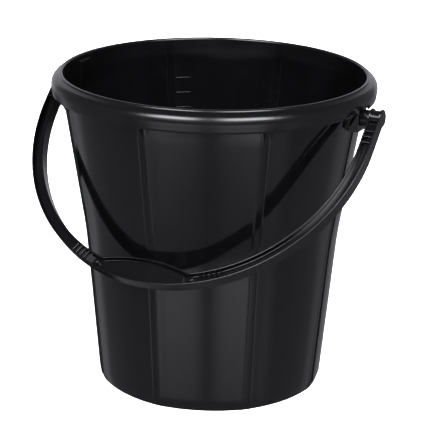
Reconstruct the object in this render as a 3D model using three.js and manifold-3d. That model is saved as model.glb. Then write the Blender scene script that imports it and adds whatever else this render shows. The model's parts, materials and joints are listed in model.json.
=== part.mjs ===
// A moulded plastic florist bucket of about 12 litres with a swinging carry handle.
// Millimetres, +Z up. The origin is the centre of the foot, on the ground. The handle pivots on a line parallel
// to X and hangs down the front of the bucket, towards -Y.
import * as THREE from 'three';
import { mergeVertices } from 'three/addons/utils/BufferGeometryUtils.js';
import Module from 'manifold-3d';

const wasm = await Module();
wasm.setup();

// Bucket wall: its outside, as a radius at the ground and two flares that meet at the knee.
const HEIGHT = 285;
const BASE_RADIUS = 102.2;
const KNEE_HEIGHT = 141;
const KNEE_BLEND = 14;
const LOWER_FLARE = 0.0911;
const UPPER_FLARE = 0.1635;
const THROAT_DROP = 28;
const WALL = 1.9;

// Foot and floor
const FOOT_HEIGHT = 5.5;
const FOOT_STEP = 1.4;
const FOOT_ROUND = 1.2;
const FOOT_RING = 4;
const FLOOR_LIFT = 3;
const FLOOR = 2.2;
const FLOOR_FILLET = 4;
const FLOOR_RIB = 1.6;
const FLOOR_RIB_DEPTH = 2;
const FLOOR_RIB_COUNT = 8;
const FLOOR_BOSS_RADIUS = 11;
const GATE_RADIUS = 3;
const GATE_DEPTH = 1.2;

// Rolled rim: a bead on the inside edge, a bulge, and a skirt that hangs clear of the wall.
const RIM_OVERHANG = 11;
const RIM_WIDTH = 10.5;
const RIM_SHELL = 1.9;
const BEAD = 1.9;
const BULGE_WIDTH = 7;
const BULGE_HEIGHT = 8.6;
const BULGE_DROP = 11;
const SKIRT_DROP = 19;
const SKIRT_RETURN = 1.1;
const SKIRT_ROUND = 0.6;

// Raised strips that divide the wall into panels, with a gusset above each one under the rim. Between strips
// the wall is slightly flatter than round: its flatness is 0 for round and 1 for straight.
const PANELS = 8;
const PANEL_FLATNESS = 0.11;
const STRIP_WIDTH = 6.6;
const STRIP_RAISE = 0.8;
const STRIP_CHAMFER = 0.8;
const GUSSET = 2.4;
const GUSSET_DROP = 35;
const GUSSET_INSET = 3;

// Graduation bars inside, beside one strip
const BAR_COUNT = 12;
const BAR_LENGTH = 14;
const BAR_HEIGHT = 1.4;
const BAR_RAISE = 0.7;
const BAR_PITCH = 14;
const BAR_DROP = 38;
const BAR_ANGLE = 220;

// Ears: the sockets that carry the handle, in a notch of the skirt, with a thin rib on each side of the notch.
const PIVOT_DROP = 23.6;
const EAR_SIDE = 2;
const EAR_PLATE = 1.9;
const EAR_INSET = 2.4;
const EAR_BELOW = 11.5;
const EAR_ABOVE = 18;
const POCKET_ABOVE = 9;
const NOTCH_MARGIN = 4.5;
const NOTCH_TOP = 9;
const EAR_RIB = 1.4;
const EAR_RIB_MARGIN = 2.6;

// Handle: an H section with its flanges on the inside and outside edges, in straight legs and a half circle.
const HANDLE_GAP = 5.2;
const HANDLE_WIDTH = 10.5;
const HANDLE_DEPTH = 12;
const LEG = 31;
const FLANGE = 1.6;
const WEB = 2.2;
const GRIP_LENGTH = 84;
const GRIP_RISE = 11.9;
const PLAQUE_GAP = 3;
const PLAQUE_LENGTH = 80;
const PLAQUE_SINK = 1.4;
const HUB_LIP = 2;
const HUB_RISE = 1.5;
const HUB_STEP = 1.4;
const HUB_PROUD = 0.4;
const HUB_CHAMFER = 1.2;
const RIB = 1.2;
const RIB_SINK = 1;
const LEG_RIB_START = 13.5;
const LEG_RIB_PITCH = 5.5;
const LEG_RIB_COUNT = 3;
const GRIP_RIB_START = 20;
const GRIP_RIB_PITCH = 1.75;
const GRIP_RIB_COUNT = 5;
const KNOB_RADIUS = 2.2;
const KNOB_ANGLE = 17.2;

// Pegs, with their shoulders and heads and the clearances they run with
const PEG_RADIUS = 4.2;
const PEG_CLEARANCE = 0.45;
const COLLAR_STEP = 3.2;
const HEAD_STEP = 1.1;
const HEAD_LENGTH = 2.2;
const HEAD_ROOM = 1.2;
const END_CLEARANCE = 0.6;
const REST_GAP = 0.5;

// Fineness of the curves
const PANEL_COLUMNS = 6;
const ARC_SEGMENTS = 20;
const ROUND_SEGMENTS = 24;
const RIM_STEPS = 4;
const BEAD_STEPS = 6;
const HOLLOW_STEPS = 2;
const RIM_MEET = 72;
const HOLLOW_MEET = 75;
const EMBED = 0.6;
const OVERCUT = 1;

const throatHeight = HEIGHT - THROAT_DROP;
const kneeRadius = BASE_RADIUS + LOWER_FLARE * KNEE_HEIGHT;
const throatRadius = kneeRadius + UPPER_FLARE * (throatHeight - KNEE_HEIGHT);
const rimRadius = throatRadius + RIM_OVERHANG;
const lipRadius = rimRadius - RIM_WIDTH;
const neckHeight = HEIGHT - BULGE_DROP + BULGE_HEIGHT / 2;
const neckFlare = (lipRadius + WALL - throatRadius) / (neckHeight - throatHeight);
const floorTop = FLOOR_LIFT + FLOOR;
const pivotHeight = HEIGHT - PIVOT_DROP;
const headRadius = PEG_RADIUS + HEAD_STEP;
const earFace = rimRadius - EAR_INSET;
const earHalf = headRadius + HEAD_ROOM + EAR_SIDE;
const notchHalf = earHalf + NOTCH_MARGIN;
const handleInner = rimRadius + HANDLE_GAP;
const handleOuter = handleInner + HANDLE_WIDTH;

const sector = 360 / PANELS;
const radians = THREE.MathUtils.degToRad;
const point = (radius, height) => new THREE.Vector2(radius, height);

// Radius of the wall's outside, without the strips, at any height.
function wallRadius(height) {
  if (height <= KNEE_HEIGHT) return BASE_RADIUS + LOWER_FLARE * height;
  if (height <= throatHeight) return kneeRadius + UPPER_FLARE * (height - KNEE_HEIGHT);
  return throatRadius + neckFlare * (height - throatHeight);
}

// How far the wall is drawn in, as a share of its radius, at an angle in degrees from a strip.
function panelSink(along) {
  return (PANEL_FLATNESS * radians(along) * radians(sector - along)) / 2;
}

// A closed mesh as a solid: its corners are welded, and faces that collapse on the axis are dropped.
function toSolid(geometry) {
  const bare = geometry.clone();
  bare.deleteAttribute('normal');
  bare.deleteAttribute('uv');
  const welded = mergeVertices(bare);
  const faces = [];
  const index = welded.index.array;
  for (let i = 0; i < index.length; i += 3) {
    const [a, b, c] = index.slice(i, i + 3);
    if (a !== b && b !== c && c !== a) faces.push(a, b, c);
  }
  const vertProperties = new Float32Array(welded.attributes.position.array);
  return new wasm.Manifold(new wasm.Mesh({ numProp: 3, vertProperties, triVerts: new Uint32Array(faces) }));
}

function toGeometry(solid) {
  const { vertProperties, triVerts } = solid.getMesh();
  const geometry = new THREE.BufferGeometry();
  geometry.setAttribute('position', new THREE.BufferAttribute(vertProperties, 3));
  geometry.setIndex(new THREE.BufferAttribute(triVerts, 1));
  geometry.computeVertexNormals();
  return geometry;
}

// A box between two corners
function boxSolid(low, high) {
  const size = high.map((value, axis) => value - low[axis]);
  const centre = high.map((value, axis) => (value + low[axis]) / 2);
  return toSolid(new THREE.BoxGeometry(...size).translate(...centre));
}

// A cylinder along X between two places
function rodSolid(radius, from, to) {
  const rod = new THREE.CylinderGeometry(radius, radius, Math.abs(to - from), ROUND_SEGMENTS);
  return toSolid(rod.rotateZ(Math.PI / 2).translate((from + to) / 2, 0, 0));
}

// A solid turned about Z, so that its +X side points at the given azimuth from the front (-Y) towards +X.
function turned(solid, azimuth) {
  return solid.rotate([0, 0, azimuth - 90]);
}

// Points of an elliptical arc from one angle to another, in degrees
function arcPoints(centre, width, height, from, to, steps) {
  const points = [];
  for (let step = 0; step <= steps; step += 1) {
    const angle = radians(from + ((to - from) * step) / steps);
    points.push(point(centre.x + width * Math.cos(angle), centre.y + height * Math.sin(angle)));
  }
  return points;
}

// The wall's profile from the foot to the throat, moved inwards by a wall thickness when asked.
function wallPoints(from, inwards) {
  const heights = [from, KNEE_HEIGHT - KNEE_BLEND, KNEE_HEIGHT + KNEE_BLEND, throatHeight];
  const points = heights.map((height) => point(wallRadius(height) - inwards, height));
  const sag = ((UPPER_FLARE - LOWER_FLARE) * KNEE_BLEND) / 4;
  points.splice(2, 0, point(kneeRadius + sag - inwards, KNEE_HEIGHT));
  return points;
}

// Half the section of the bucket, from the middle of the underside round to the middle of the floor.
function bucketProfile() {
  const footOuter = wallRadius(0) - FOOT_STEP;
  const footInner = footOuter - FOOT_RING;
  const bulge = point(rimRadius - BULGE_WIDTH, HEIGHT - BULGE_DROP);
  const bead = point(lipRadius + BEAD, HEIGHT - BEAD);
  const skirtEnd = HEIGHT - SKIRT_DROP;
  const skirtOuter = rimRadius - SKIRT_RETURN;
  const foot = [
    point(0, FLOOR_LIFT),
    point(footInner - FOOT_ROUND, FLOOR_LIFT),
    point(footInner, 0),
    point(footOuter - FOOT_ROUND, 0),
    point(footOuter, FOOT_ROUND),
    point(footOuter + LOWER_FLARE * FOOT_HEIGHT, FOOT_HEIGHT),
  ];
  const underRim = [
    point(wallRadius(neckHeight), neckHeight),
    ...arcPoints(bulge, BULGE_WIDTH - RIM_SHELL, BULGE_HEIGHT - RIM_SHELL, HOLLOW_MEET, 0, HOLLOW_STEPS),
    point(skirtOuter - RIM_SHELL, skirtEnd),
  ];
  const overRim = [
    point(skirtOuter - SKIRT_ROUND, skirtEnd),
    point(skirtOuter, skirtEnd + SKIRT_ROUND),
    ...arcPoints(bulge, BULGE_WIDTH, BULGE_HEIGHT, 0, RIM_MEET, RIM_STEPS),
    ...arcPoints(bead, BEAD, BEAD, 0, 180, BEAD_STEPS),
  ];
  const inside = wallPoints(floorTop + FLOOR_FILLET, WALL).reverse();
  const cornerRadius = wallRadius(floorTop) - WALL - FLOOR_FILLET;
  const cornerCentre = point(cornerRadius, floorTop + FLOOR_FILLET);
  const corner = arcPoints(cornerCentre, FLOOR_FILLET, FLOOR_FILLET, -30, -90, 2);
  const outside = wallPoints(FOOT_HEIGHT + FOOT_ROUND, 0);
  return [...foot, ...outside, ...underRim, ...overRim, ...inside, ...corner, point(0, floorTop)];
}

// The columns of the turned shell, each with an azimuth, a shift across it and how the wall moves there: four
// make each strip, and the rest are spread over the panel beside it.
function shellColumns() {
  const columns = [];
  const crest = STRIP_WIDTH / 2 - STRIP_CHAMFER;
  const edge = STRIP_WIDTH / 2;
  for (let panel = 0; panel < PANELS; panel += 1) {
    const azimuth = panel * sector;
    for (const across of [-edge, -crest, crest, edge]) {
      columns.push({ azimuth, across, raise: Math.abs(across) < edge ? STRIP_RAISE : 0, sink: 0 });
    }
    for (let step = 1; step <= PANEL_COLUMNS; step += 1) {
      const along = (sector * step) / (PANEL_COLUMNS + 1);
      columns.push({ azimuth: azimuth + along, across: 0, raise: 0, sink: panelSink(along) });
    }
  }
  return columns;
}

// The shell is a turned profile whose columns are spaced to suit the strips. Its wall is pushed out along the
// strips and drawn in a little between them.
function shellSolid() {
  const profile = bucketProfile();
  const columns = shellColumns();
  const shell = new THREE.LatheGeometry(profile, columns.length);
  const position = shell.attributes.position;
  const stripLow = FOOT_HEIGHT + FOOT_ROUND;
  for (let i = 0; i <= columns.length; i += 1) {
    const { azimuth, across, raise, sink } = columns[i % columns.length];
    profile.forEach(({ x: radius, y: height }, j) => {
      const outside = wallRadius(height);
      const onWall = radius > outside - WALL - EMBED && radius < outside + EMBED;
      const within = height >= stripLow && height <= throatHeight;
      const reach = onWall && within ? radius + raise - sink * outside : radius;
      const angle = radians(azimuth) + (radius > 0 ? across / Math.max(radius, STRIP_WIDTH) : 0);
      position.setXYZ(i * profile.length + j, reach * Math.sin(angle), -reach * Math.cos(angle), height);
    });
  }
  return toSolid(shell);
}

// A plate under the rim, from the wall out to the inside of the skirt, at an azimuth.
function gussetSolid(thickness, azimuth) {
  const foot = HEIGHT - GUSSET_DROP;
  const top = HEIGHT - BULGE_DROP + BULGE_HEIGHT - RIM_SHELL;
  const outer = rimRadius - GUSSET_INSET;
  const shape = new THREE.Shape();
  shape.moveTo(wallRadius(foot) - EMBED, foot);
  shape.lineTo(outer, HEIGHT - SKIRT_DROP + BEAD);
  shape.lineTo(outer, HEIGHT - BULGE_DROP + BEAD);
  shape.lineTo(lipRadius + WALL, top);
  shape.lineTo(wallRadius(top) - EMBED, top);
  const plate = new THREE.ExtrudeGeometry(shape, { depth: thickness, bevelEnabled: false });
  return turned(toSolid(plate.translate(0, 0, -thickness / 2).rotateX(Math.PI / 2)), azimuth);
}

// One ear, on the +X side: a box that is open below, with a round hole in its outer plate. It is joined to the
// skirt above the notch.
function addEar(shell) {
  const notchTop = pivotHeight + NOTCH_TOP;
  const notch = boxSolid(
    [earFace - EAR_PLATE, -notchHalf, pivotHeight - NOTCH_TOP],
    [rimRadius + OVERCUT, notchHalf, notchTop],
  );
  const low = pivotHeight - EAR_BELOW;
  const inner = wallRadius(low) - EMBED;
  const box = boxSolid([inner, -earHalf, low], [earFace, earHalf, pivotHeight + EAR_ABOVE]);
  const pocketInner = wallRadius(pivotHeight + POCKET_ABOVE) + EMBED;
  const pocketHalf = earHalf - EAR_SIDE;
  const pocket = boxSolid(
    [pocketInner, -pocketHalf, low - OVERCUT],
    [earFace - EAR_PLATE, pocketHalf, pivotHeight + POCKET_ABOVE],
  );
  const bore = rodSolid(PEG_RADIUS + PEG_CLEARANCE, pocketInner, earFace + OVERCUT);
  const cap = boxSolid(
    [earFace - EMBED, -earHalf, notchTop],
    [rimRadius - RIM_SHELL / 2, earHalf, HEIGHT - BULGE_DROP],
  );
  const closed = shell.subtract(notch).add(box).add(cap);
  const open = closed.subtract(pocket).subtract(bore.translate([0, 0, pivotHeight]));
  const swing = THREE.MathUtils.radToDeg((notchHalf + EAR_RIB_MARGIN) / rimRadius);
  return open.add(gussetSolid(EAR_RIB, 90 - swing)).add(gussetSolid(EAR_RIB, 90 + swing));
}

// Ribs, a ring and the moulding gate in the hollow under the floor
function addFloorRibs(shell) {
  const high = FLOOR_LIFT + EMBED;
  const low = FLOOR_LIFT - FLOOR_RIB_DEPTH;
  const reach = BASE_RADIUS - FOOT_STEP - FOOT_RING + EMBED;
  let result = shell;
  for (let rib = 0; rib < FLOOR_RIB_COUNT; rib += 1) {
    const blade = boxSolid([FLOOR_BOSS_RADIUS, -FLOOR_RIB / 2, low], [reach, FLOOR_RIB / 2, high]);
    result = result.add(turned(blade, ((rib + 0.5) * 360) / FLOOR_RIB_COUNT));
  }
  const section = [
    point(FLOOR_BOSS_RADIUS - FLOOR_RIB, low),
    point(FLOOR_BOSS_RADIUS + EMBED, low),
    point(FLOOR_BOSS_RADIUS + EMBED, high),
    point(FLOOR_BOSS_RADIUS - FLOOR_RIB, high),
    point(FLOOR_BOSS_RADIUS - FLOOR_RIB, low),
  ];
  const ring = new THREE.LatheGeometry(section, ROUND_SEGMENTS).rotateX(Math.PI / 2);
  const gate = new THREE.CylinderGeometry(GATE_RADIUS, GATE_RADIUS, GATE_DEPTH + EMBED, ROUND_SEGMENTS / 2);
  gate.rotateX(Math.PI / 2).translate(0, 0, FLOOR_LIFT + (EMBED - GATE_DEPTH) / 2);
  return result.add(toSolid(ring)).add(toSolid(gate));
}

// Short level bars on the inside of the wall
function addGraduation(shell) {
  let result = shell;
  for (let bar = 0; bar < BAR_COUNT; bar += 1) {
    const height = HEIGHT - BAR_DROP - bar * BAR_PITCH;
    const face = wallRadius(height) * (1 - panelSink(BAR_ANGLE % sector)) - WALL;
    const block = boxSolid(
      [face - BAR_RAISE, -BAR_LENGTH / 2, height - BAR_HEIGHT / 2],
      [face + WALL / 2, BAR_LENGTH / 2, height + BAR_HEIGHT / 2],
    );
    result = result.add(turned(block, BAR_ANGLE));
  }
  return result;
}

function bucketSolid() {
  let bucket = shellSolid();
  for (let panel = 0; panel < PANELS; panel += 1) {
    const azimuth = panel * sector;
    const atPivot = azimuth === 90 || azimuth === 270;
    if (!atPivot) bucket = bucket.add(gussetSolid(GUSSET, azimuth));
  }
  bucket = addEar(bucket);
  bucket = addEar(bucket.rotate([0, 0, 180])).rotate([0, 0, 180]);
  return addGraduation(addFloorRibs(bucket));
}

// The handle is drawn flat: X across, -Y along the legs, Z through its depth, with the pivot line on X.

// Where the inner half circle of the handle, moved by an inset, meets the arc of the grip.
function gripArc(inset) {
  const innerRadius = handleInner;
  const corner = Math.sqrt(innerRadius ** 2 - (GRIP_LENGTH / 2) ** 2);
  const rise = corner - (innerRadius - GRIP_RISE);
  const arcRadius = ((GRIP_LENGTH / 2) ** 2 + rise ** 2) / (2 * rise);
  const spacing = innerRadius - GRIP_RISE + arcRadius;
  const near = innerRadius + inset;
  const far = arcRadius - inset;
  const along = (near ** 2 - far ** 2 + spacing ** 2) / (2 * spacing);
  const half = Math.sqrt(near ** 2 - along ** 2);
  return { near, far, spacing, half, along };
}

// The handle's outline, moved inwards by an inset on both edges and starting below the pivot line.
function handleShape(inset, start) {
  const outer = handleOuter - inset;
  const { near, far, spacing, half, along } = gripArc(inset);
  const side = Math.atan2(along, half);
  const turn = Math.atan2(spacing - along, half);
  const shape = new THREE.Shape();
  shape.moveTo(outer, -start);
  shape.lineTo(outer, -LEG);
  shape.absarc(0, -LEG, outer, 0, -Math.PI, true);
  shape.lineTo(-outer, -start);
  shape.lineTo(-near, -start);
  shape.lineTo(-near, -LEG);
  shape.absarc(0, -LEG, near, -Math.PI, -Math.PI + side, false);
  shape.absarc(0, -LEG - spacing, far, Math.PI - turn, turn, true);
  shape.absarc(0, -LEG, near, -side, 0, false);
  shape.lineTo(near, -start);
  return shape;
}

// A flat shape as a plate, from one level to another through the handle's depth
function plateSolid(shape, low, high) {
  const plate = new THREE.ExtrudeGeometry(shape, {
    depth: high - low,
    bevelEnabled: false,
    curveSegments: ARC_SEGMENTS,
  });
  return toSolid(plate.translate(0, 0, low));
}

// The crescent plaque that fills the middle of the grip
function plaqueShape() {
  const { far, spacing } = gripArc(FLANGE + PLAQUE_GAP);
  const outer = handleOuter - FLANGE / 2;
  const half = PLAQUE_LENGTH / 2;
  const top = Math.acos(half / far);
  const low = Math.acos(half / outer);
  const shape = new THREE.Shape();
  shape.absarc(0, -LEG - spacing, far, top, Math.PI - top, false);
  shape.absarc(0, -LEG, outer, -Math.PI + low, -low, false);
  return shape;
}

// A thin rib across the channel, at an angle from the middle of the grip or beside a leg
function crossRib(across, along, angle) {
  const length = HANDLE_WIDTH - FLANGE;
  const depth = HANDLE_DEPTH - 2 * RIB_SINK;
  const rib = new THREE.BoxGeometry(length, RIB, depth);
  return toSolid(rib.rotateZ(angle).translate(across, -along, 0));
}

function addRibs(handle) {
  const middle = handleInner + HANDLE_WIDTH / 2;
  let result = handle;
  for (const side of [-1, 1]) {
    for (let rib = 0; rib < LEG_RIB_COUNT; rib += 1) {
      result = result.add(crossRib(side * middle, LEG_RIB_START + rib * LEG_RIB_PITCH, 0));
    }
    for (let rib = 0; rib < GRIP_RIB_COUNT; rib += 1) {
      const angle = radians(GRIP_RIB_START + rib * GRIP_RIB_PITCH);
      const across = side * middle * Math.sin(angle);
      const along = LEG + middle * Math.cos(angle);
      result = result.add(crossRib(across, along, side * (angle - Math.PI / 2)));
    }
    const knobAngle = radians(KNOB_ANGLE);
    const height = HANDLE_DEPTH - 2 * RIB_SINK;
    const knob = new THREE.CylinderGeometry(KNOB_RADIUS, KNOB_RADIUS, height, ROUND_SEGMENTS / 2);
    knob.rotateX(Math.PI / 2);
    knob.translate(side * middle * Math.sin(knobAngle), -LEG - middle * Math.cos(knobAngle), 0);
    result = result.add(toSolid(knob));
  }
  return result;
}

// The collar, peg and retaining head on the +X side, round the pivot line
function pegSolid() {
  const plateInside = earFace - EAR_PLATE;
  const headStart = plateInside - END_CLEARANCE - HEAD_LENGTH;
  const collarRadius = PEG_RADIUS + COLLAR_STEP;
  const outline = [
    point(0, headStart),
    point(headRadius - PEG_CLEARANCE, headStart),
    point(headRadius, headStart + PEG_CLEARANCE),
    point(headRadius, headStart + HEAD_LENGTH),
    point(PEG_RADIUS, headStart + HEAD_LENGTH),
    point(PEG_RADIUS, earFace + END_CLEARANCE),
    point(collarRadius, earFace + END_CLEARANCE),
    point(collarRadius, handleInner + EMBED),
    point(0, handleInner + EMBED),
  ];
  return toSolid(new THREE.LatheGeometry(outline, ROUND_SEGMENTS).rotateZ(-Math.PI / 2));
}

// The leg's round end on the +X side: two cheeks with a lower core between them
function hubSolid() {
  const outer = handleOuter + HUB_PROUD;
  const hubRadius = HANDLE_DEPTH / 2 + HUB_LIP;
  const outline = [
    point(0, handleInner),
    point(hubRadius, handleInner),
    point(hubRadius, handleInner + FLANGE),
    point(hubRadius - HUB_STEP, handleInner + FLANGE),
    point(hubRadius - HUB_STEP, handleOuter - FLANGE),
    point(hubRadius, handleOuter - FLANGE),
    point(hubRadius, outer - HUB_CHAMFER),
    point(hubRadius - HUB_CHAMFER, outer),
    point(0, outer),
  ];
  const hub = new THREE.LatheGeometry(outline, ROUND_SEGMENTS).rotateZ(-Math.PI / 2);
  return toSolid(hub.translate(0, HUB_RISE, 0));
}

function handleSolid() {
  const half = HANDLE_DEPTH / 2;
  let handle = plateSolid(handleShape(0, 0), -half, half);
  for (const side of [-1, 1]) {
    const [low, high] = side > 0 ? [WEB / 2, half + OVERCUT] : [-half - OVERCUT, -WEB / 2];
    handle = handle.subtract(plateSolid(handleShape(FLANGE, -OVERCUT), low, high));
  }
  handle = addRibs(handle.add(plateSolid(plaqueShape(), PLAQUE_SINK - half, half - PLAQUE_SINK)));
  const end = hubSolid().add(pegSolid());
  return handle.add(end).add(end.mirror([1, 0, 0]));
}

// The angle below level at which the grip comes to rest just clear of the strip on the front of the wall.
function restAngle() {
  const reach = LEG + handleInner - GRIP_RISE;
  const half = HANDLE_DEPTH / 2;
  let [high, low] = [0, Math.PI / 2];
  while (low - high > 1e-6) {
    const angle = (low + high) / 2;
    const out = reach * Math.cos(angle) - half * Math.sin(angle);
    const height = pivotHeight - reach * Math.sin(angle) - half * Math.cos(angle);
    if (out > wallRadius(height) + STRIP_RAISE + REST_GAP) high = angle;
    else low = angle;
  }
  return high;
}

const group = new THREE.Group();

const bucket = new THREE.Mesh(
  toGeometry(bucketSolid()),
  new THREE.MeshStandardMaterial({ color: 0x1c1d1f, roughness: 0.25, metalness: 0 }),
);
bucket.name = 'bucket_body';

const handle = new THREE.Mesh(
  toGeometry(handleSolid()),
  new THREE.MeshStandardMaterial({ color: 0x18191b, roughness: 0.35, metalness: 0 }),
);
handle.name = 'carry_handle';
handle.position.z = pivotHeight;
handle.rotation.x = restAngle();

group.add(bucket, handle);

export default group;
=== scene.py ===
"""Looks of a moulded plastic florist bucket with a swinging handle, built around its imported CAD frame."""

import json
import math

import bmesh
import bpy
from mathutils import Matrix, Vector


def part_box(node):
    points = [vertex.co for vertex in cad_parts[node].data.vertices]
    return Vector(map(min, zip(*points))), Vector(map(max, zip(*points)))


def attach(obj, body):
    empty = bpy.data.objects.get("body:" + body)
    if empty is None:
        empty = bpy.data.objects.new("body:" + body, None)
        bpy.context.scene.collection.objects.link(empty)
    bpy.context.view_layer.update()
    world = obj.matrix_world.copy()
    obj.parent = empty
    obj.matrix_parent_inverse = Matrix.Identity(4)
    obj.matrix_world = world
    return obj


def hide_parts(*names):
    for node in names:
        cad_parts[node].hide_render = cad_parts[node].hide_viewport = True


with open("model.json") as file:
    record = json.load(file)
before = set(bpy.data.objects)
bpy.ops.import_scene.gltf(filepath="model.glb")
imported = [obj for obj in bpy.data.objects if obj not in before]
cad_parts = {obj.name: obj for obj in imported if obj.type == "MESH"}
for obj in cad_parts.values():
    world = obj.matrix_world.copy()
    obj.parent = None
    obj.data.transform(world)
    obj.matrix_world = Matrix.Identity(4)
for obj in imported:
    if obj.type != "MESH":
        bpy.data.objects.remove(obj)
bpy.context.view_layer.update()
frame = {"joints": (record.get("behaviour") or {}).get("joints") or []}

# Shapes are worked out in millimetres in the CAD frame and stored in metres.
MM = 0.001
bucket_low, bucket_high = (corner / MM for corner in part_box("bucket_body"))
handle_low, handle_high = (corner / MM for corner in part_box("carry_handle"))
swing = next(joint for joint in frame["joints"] if joint["name"] == "handle_swing")

# How far a joined shape runs into its neighbour, and how far a cutting shape runs past what it cuts.
EMBED = 0.6
OVERCUT = 1

# Bucket wall
HEIGHT = bucket_high.z
RIM = -bucket_low.y
RIM_OVERHANG = 11
THROAT_DROP = 28
KNEE = 141
KNEE_BLEND = 14
LOWER_FLARE = 0.0911
UPPER_FLARE = 0.1635
WALL = 1.9
PANELS = 8
PANEL_FLATNESS = 0.11
WALL_FULLNESS = 0.7
# One side of a wall strip as (distance across from its middle, height above the wall).
STRIP_EDGE = ((4.2, 0), (3.8, -0.3), (3.35, 0), (2.85, 0.66), (2.72, 0.77), (2.55, 0.8), (1.2, 0.8))
STRIP_RAISE = 0.8
# Inside this radius the strips' columns close up towards the middle of the floor.
STRIP_TAPER = 90
# The flats fade out over about this radius at the axis, and end this far outside the wall.
AXIS_FADE = 1
WALL_MARGIN = 1
# Mesh of a panel between two strips: angle at which its columns start, their count, and its rows' heights.
PANEL_START = 3.4
PANEL_STEPS = 32
WALL_ROW = 6
NECK_ROW = 5

# Foot and floor
FOOT_HEIGHT = 5.5
FOOT_STEP = 1.4
FOOT_RING = 4
FOOT_ROUND = 1.2
# The wall's lower edge over the foot as (distance out from the wall, height over the foot, strips' share).
WALL_EDGE = ((-0.2, 0.15, 0.6), (0.3, 0.6, 0.9))
FLOOR_LIFT = 3
FLOOR_TOP = 5.2
FLOOR_FILLET = 4
FLOOR_RINGS = (20, 50, 80)
FLOOR_RIB = 1.6
FLOOR_RIB_LOW = 1
FLOOR_BOSS = 11
GATE_RADIUS = 3
GATE_DEPTH = 1.2
GATE_CHAMFER = 0.3

# Rolled rim
RIM_WIDTH = 10.5
RIM_SHELL = 1.9
BEAD = 1.9
BEAD_ANGLES = (5, 185)
BULGE_WIDTH = 7
BULGE_HEIGHT = 8.6
BULGE_DROP = 11
BULGE_MEET = 72
HOLLOW_MEET = 75
HOLLOW_END = 40
SKIRT_DROP = 19
SKIRT_RETURN = 1.1
SKIRT_BEND = 4
SKIRT_STEPS = 7
# The skirt's lower edge: where its straight sides stop above it, and its corners as (distance in, height).
SKIRT_EDGE = 0.6
SKIRT_INNER_CORNER = (0.25, 0.15)
SKIRT_OUTER_CORNER = (0.3, 0.1)
GUSSET = 2.4
GUSSET_DROP = 35
GUSSET_INSET = 3
PLATE_ROUND = 0.3

# Ears and the notches that they stand in
EAR_HALF = 8.5
EAR_SIDE = 2
EAR_PLATE = 1.9
EAR_INSET = 2.4
EAR_BELOW = 11.5
EAR_ABOVE = 18
EAR_EMBED = 0.9
EAR_OVERLAP = 1
EAR_ROUND = 0.6
POCKET_ROUND = 0.5
POCKET_ABOVE = 9
EAR_RIB = 1.4
EAR_RIB_AWAY = 15.6
NOTCH_HALF = 13
NOTCH_TOP = 9
NOTCH_ROUND = 2
# Columns along the side of a notch as distances out from it, and the angle that other columns keep from them.
NOTCH_COLUMNS = (0.9, 0.25, 0, -0.12, -0.5, -1, -1.5, -2, -3)
COLUMN_CLEARANCE = 0.3

# Level bars inside
BARS = 12
BAR_SIZE = (1.9, 14, 1.4)
BAR_ROUND = 0.25
BAR_RAISE = 0.45
BAR_PITCH = 14
BAR_DROP = 38
BAR_AZIMUTH = 220

# Handle
PIVOT = swing["pos_m"][2] / MM
HUB_PROUD = 0.4
HANDLE_OUTER = handle_high.x - HUB_PROUD
HANDLE_INNER = HANDLE_OUTER - 10.5
HALF_DEPTH = 6
LEG = 31
FLANGE = 1.6
HALF_WEB = 1.1
EDGE_ROUND = 0.5
WEB_ROUND = 0.5
WEB_REACH = 3
ARM_STEPS = 56
GRIP_STEPS = 40
LEG_STEPS = 8
GRIP_HALF = 42
GRIP_RISE = 11.9
PLAQUE_GAP = 3
PLAQUE_REACH = 0.96
PLAQUE_DEPTH = 4.6
PLAQUE_ROUND = 0.5
PLAQUE_STEPS = 40
HUB_RADIUS = 8
HUB_RISE = 1.5
CORE_RADIUS = 6.6
PEG_RADIUS = 4.2
COLLAR_RADIUS = 7.4
HEAD_RADIUS = 5.3
HEAD_LENGTH = 2.2
HEAD_ROUND = 0.5
HEAD_BACK_ROUND = 0.3
PEG_FILLET = 0.2
COLLAR_ROUND = 0.4
CHEEK_ROUND = 0.5
CORE_FILLET = 0.4
END_CLEARANCE = 0.6
HUB_ROUND = 1.2
RIB = 1.2
RIB_HALF_DEPTH = 5
RIB_ROUND = 0.35
LEG_RIBS = (14.5, 20, 25.5)
GRIP_RIB_START = 20
GRIP_RIB_PITCH = 1.75
GRIP_RIBS = 5
KNOB_RADIUS = 2.2
KNOB_ANGLE = 17.2
KNOB_ROUND = 0.5
BORE_RADIUS = 4.65

THROAT = HEIGHT - THROAT_DROP
THROAT_RADIUS = RIM - RIM_OVERHANG
KNEE_RADIUS = THROAT_RADIUS - UPPER_FLARE * (THROAT - KNEE)
LIP_RADIUS = RIM - RIM_WIDTH
NECK = HEIGHT - BULGE_DROP + BULGE_HEIGHT / 2
NECK_RADIUS = LIP_RADIUS + WALL
SKIRT_END = HEIGHT - SKIRT_DROP
BULGE = (RIM - BULGE_WIDTH, HEIGHT - BULGE_DROP)
EAR_FACE = RIM - EAR_INSET
SECTOR = 360 / PANELS

# Shading: edges sharper than these angles are rounded on plates, or stay sharp.
PLATE_EDGE = 50
SHARP_EDGE = 32
NORMAL_WEIGHT = 60


def wall_radius(height):
    """Radius of the wall's outside, without its strips."""
    if height > THROAT:
        return THROAT_RADIUS + (NECK_RADIUS - THROAT_RADIUS) * (height - THROAT) / (NECK - THROAT)
    rise = height - KNEE
    if rise >= KNEE_BLEND:
        return KNEE_RADIUS + UPPER_FLARE * rise
    blend = max(0.0, rise + KNEE_BLEND)
    return KNEE_RADIUS + LOWER_FLARE * rise + (UPPER_FLARE - LOWER_FLARE) * blend * blend / (4 * KNEE_BLEND)


def smooth(share):
    """A share from 0 to 1, eased at both ends."""
    share = min(1.0, max(0.0, share))
    return share * share * (3 - 2 * share)


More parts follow.
